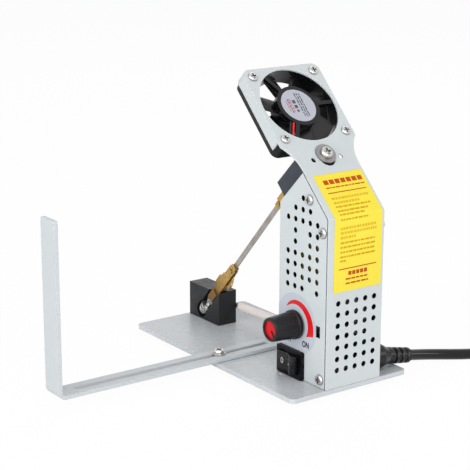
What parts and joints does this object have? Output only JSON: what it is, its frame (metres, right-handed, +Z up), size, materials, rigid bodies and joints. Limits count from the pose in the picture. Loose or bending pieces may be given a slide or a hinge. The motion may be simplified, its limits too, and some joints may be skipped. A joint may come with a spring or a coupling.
{
  "type": "bench hot knife",
  "caption": "Bench-top hot knife for ribbon: a heated strip runs from a grooved block on a base plate to a vented sheet-metal tower with fan, knob, switch and sliding length guide",
  "frame": {"origin": "on the standing surface under the middle of the object's box without its cord: middle of the plate in X, middle between guide upright and strain relief in Y", "axes": "+Z up, +X towards the tower end of the plate, knob face towards -Y"},
  "size_m": [0.1548, 0.3643, 0.1634],
  "materials": {
    "grey_paint": "light grey powder coat",
    "foot_rubber": "black rubber",
    "screw_steel": "nickel plated",
    "yellow_sticker": "yellow satin film",
    "dial_print": "printed film",
    "black_plastic": "black moulded",
    "knob_plastic": "black satin",
    "red_plastic": "red",
    "fan_plastic": "black moulded",
    "copper_winding": "enamelled copper",
    "silver_foil": "silver film",
    "red_insulation": "red insulation",
    "core_steel": "varnished laminations",
    "winding_tape": "yellow tape",
    "board_green": "green laminate",
    "aluminium": "plain",
    "part_blue": "blue epoxy",
    "white_plastic": "white nylon",
    "slate_resin": "slate grey laminate",
    "black_resin": "black phenolic",
    "clip_brass": "tarnished brass",
    "strip_steel": "heat-dulled steel",
    "cream_sleeve": "glass-fibre braid",
    "cord_rubber": "black satin",
    "pin_nickel": "nickel plated"
  },
  "bodies": {
    "base": {"base_plate": "grey_paint", "rubber_feet": "foot_rubber", "base_screws": "screw_steel", "tower_shell": "grey_paint", "rear_cover": "grey_paint", "cover_sticker": "yellow_sticker", "cover_screws": "screw_steel", "dial_plate": "dial_print", "switch_body": "black_plastic", "switch_tabs": "screw_steel", "pot_body": "screw_steel", "pot_nut": "screw_steel", "fan_frame": "fan_plastic", "fan_stator": "copper_winding", "fan_sticker": "silver_foil", "fan_screws": "screw_steel", "fan_lead_red": "red_insulation", "fan_lead_black": "cord_rubber", "transformer_core": "core_steel", "transformer_coil": "winding_tape", "transformer_strap": "screw_steel", "strap_screws": "screw_steel", "control_board": "board_green", "board_heatsink": "aluminium", "board_parts": "part_blue", "board_spacers": "white_plastic", "board_screws": "screw_steel", "tension_washer": "screw_steel", "lower_clip": "clip_brass", "lower_rivet": "clip_brass", "clip_bolt": "screw_steel", "clip_washers": "screw_steel", "lower_block": "black_resin", "sleeved_lead": "cream_sleeve", "lead_grommet": "cord_rubber", "guide_screw": "screw_steel", "guide_washer": "screw_steel", "strain_relief": "cord_rubber", "mains_cord": "cord_rubber", "cord_coil": "cord_rubber", "cord_tail": "cord_rubber", "cord_tie": "black_plastic", "plug_body": "cord_rubber", "plug_pins": "pin_nickel"},
    "knob": {"pot_shaft": "aluminium", "control_knob": "knob_plastic", "knob_cap": "red_plastic"},
    "rocker": {"switch_rocker": "black_plastic"},
    "rotor": {"fan_rotor": "fan_plastic"},
    "guide": {"guide_bar": "grey_paint"},
    "screw": {"tension_screw": "screw_steel"},
    "holder": {"upper_block": "slate_resin", "holder_pin": "screw_steel", "upper_clip": "clip_brass", "upper_rivet": "clip_brass", "heated_strip": "strip_steel"}
  },
  "joints": [
    {"name": "knob_turn", "type": "hinge", "parent": "base", "child": "knob", "pos_m": [0.04855, 0.02605, 0.0349], "axis": [0, -1, 0], "range_deg": [0, 300]},
    {"name": "rocker_tilt", "type": "hinge", "parent": "base", "child": "rocker", "pos_m": [0.04535, 0.02655, 0.0133], "axis": [0, 0, 1], "range_deg": [0, 20]},
    {"name": "fan_spin", "type": "hinge", "parent": "base", "child": "rotor", "pos_m": [0.0242, 0.04475, 0.14504], "axis": [0.7071, 0, 0.7071], "continuous": true},
    {"name": "guide_slide", "type": "slide", "parent": "base", "child": "guide", "axis": [0, 1, 0], "range_m": [-0.031, 0.088]},
    {"name": "tension_turn", "type": "hinge", "parent": "base", "child": "screw", "pos_m": [0.04767, 0.04425, 0.12298], "axis": [0.7071, 0, 0.7071], "range_deg": [-360, 360]},
    {"name": "holder_slide", "type": "slide", "parent": "base", "child": "holder", "axis": [0.7071, 0, 0.7071], "range_m": [-0.0007, 0.0007]}
  ],
  "couplings": [
    {"joint": "tension_turn", "follows": "holder_slide", "rad_per_m": -8975.9}
  ]
}
